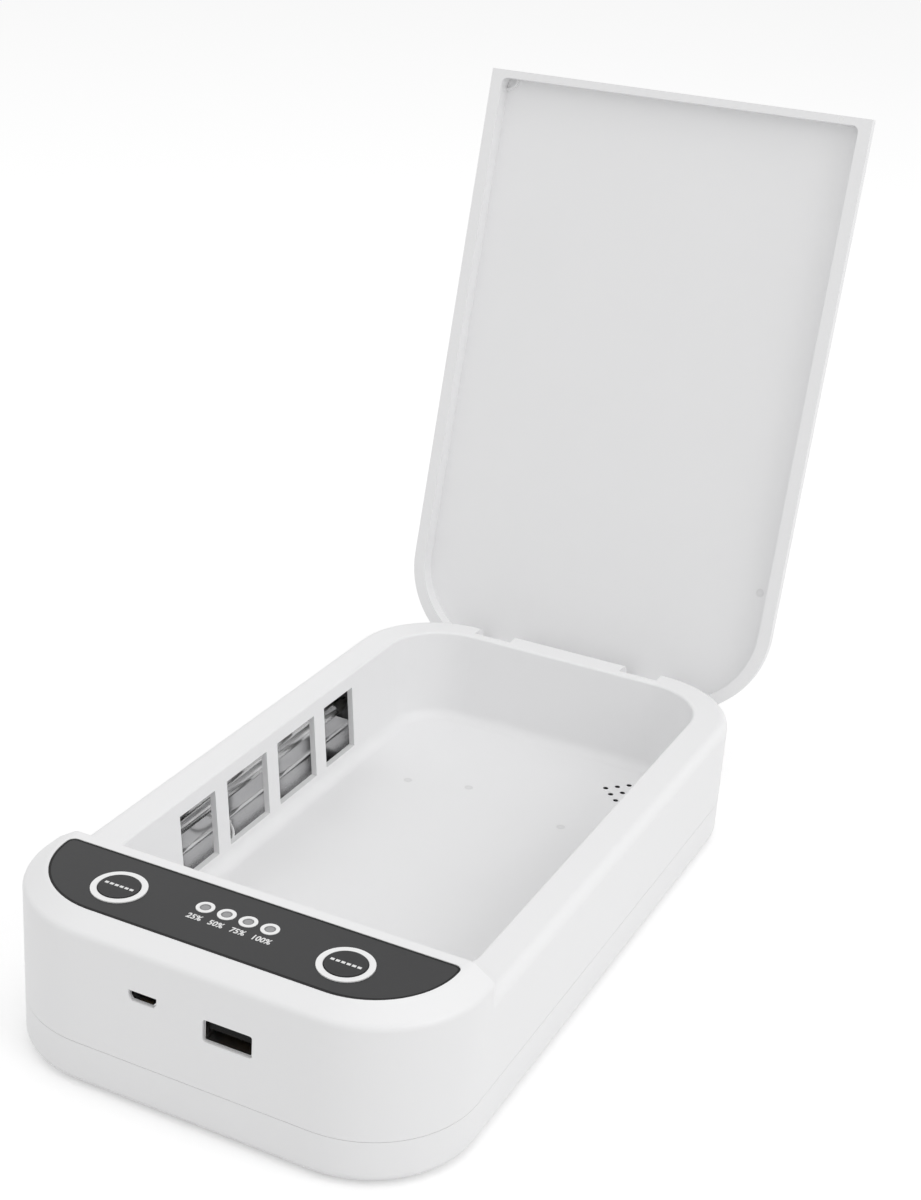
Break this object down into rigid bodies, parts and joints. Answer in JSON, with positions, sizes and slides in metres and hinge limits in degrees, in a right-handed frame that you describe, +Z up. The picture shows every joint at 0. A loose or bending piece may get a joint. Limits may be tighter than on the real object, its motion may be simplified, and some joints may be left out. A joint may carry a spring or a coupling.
{
  "type": "uv phone sanitizer box",
  "caption": "Long white box with rounded corners, hinged lid, deep phone chamber lit by side lamps through windows, and a dark nose panel with push buttons, indicators and charging sockets.",
  "frame": {"origin": "under the middle of the housing, on the plane that the rubber feet stand on", "axes": "+X right seen from the front, +Y from the control panel to the hinge, +Z up"},
  "size_m": [0.1252, 0.2756, 0.2123],
  "materials": {
    "white_shell": "moulded white plastic, fine satin gloss",
    "panel_grey": "dark grey printed plate under a clear film",
    "button_dark": "dark satin plastic",
    "ring_white": "white plastic, satin",
    "indicator_grey": "milky light-guide plastic, unlit",
    "led_white": "small surface-mounted lamp body",
    "board_green": "glass-epoxy board with solder mask",
    "switch_black": "black moulded plastic",
    "header_black": "black moulded pin header",
    "ferrite": "ferrite core with a wound coil",
    "steel": "plain steel",
    "socket_plastic": "black moulded insulator",
    "lamp_glass": "clear quartz tube, unlit",
    "holder_black": "black silicone end holder",
    "reflector_bright": "bright rolled sheet",
    "lead_white": "white insulated wire",
    "cup_white": "moulded white plastic",
    "pad_felt": "felt",
    "foot_rubber": "grey rubber",
    "magnet_nickel": "nickel-plated magnet"
  },
  "bodies": {
    "housing": {"upper_housing": "white_shell", "base_cover": "white_shell", "control_panel": "panel_grey", "button_ring_left": "ring_white", "button_ring_right": "ring_white", "indicator_rings": "ring_white", "indicator_light_pipes": "indicator_grey", "indicator_leds": "led_white", "control_board": "board_green", "main_board": "board_green", "board_link": "header_black", "tact_switch_left": "switch_black", "tact_switch_right": "switch_black", "lamp_transformer": "ferrite", "usb_a_shell": "steel", "micro_usb_shell": "steel", "usb_a_insulator": "socket_plastic", "micro_usb_insulator": "socket_plastic", "uv_lamp_left": "lamp_glass", "uv_lamp_right": "lamp_glass", "lamp_holders_left": "holder_black", "lamp_holders_right": "holder_black", "reflector_left": "reflector_bright", "reflector_right": "reflector_bright", "lamp_leads_left": "lead_white", "lamp_leads_right": "lead_white", "aroma_cup": "cup_white", "aroma_pad": "pad_felt", "hinge_pin_left": "steel", "hinge_pin_right": "steel", "base_screws": "steel", "board_screws": "steel", "rubber_feet": "foot_rubber", "lid_sensor": "switch_black"},
    "lid": {"lid_shell": "white_shell", "lid_magnet": "magnet_nickel"},
    "button_left": {"button_left": "button_dark", "switch_plunger_left": "switch_black"},
    "button_right": {"button_right": "button_dark", "switch_plunger_right": "switch_black"}
  },
  "joints": [
    {"name": "lid_hinge", "type": "hinge", "parent": "housing", "child": "lid", "pos_m": [0, 0.1074, 0.0331], "axis": [1, 0, 0], "range_deg": [0, 103]},
    {"name": "button_left_press", "type": "slide", "parent": "housing", "child": "button_left", "axis": [0, 0, -1], "range_m": [0, 0.0005], "stiffness_N_per_m": 1000, "springref_m": -0.0005},
    {"name": "button_right_press", "type": "slide", "parent": "housing", "child": "button_right", "axis": [0, 0, -1], "range_m": [0, 0.0005], "stiffness_N_per_m": 1000, "springref_m": -0.0005}
  ]
}
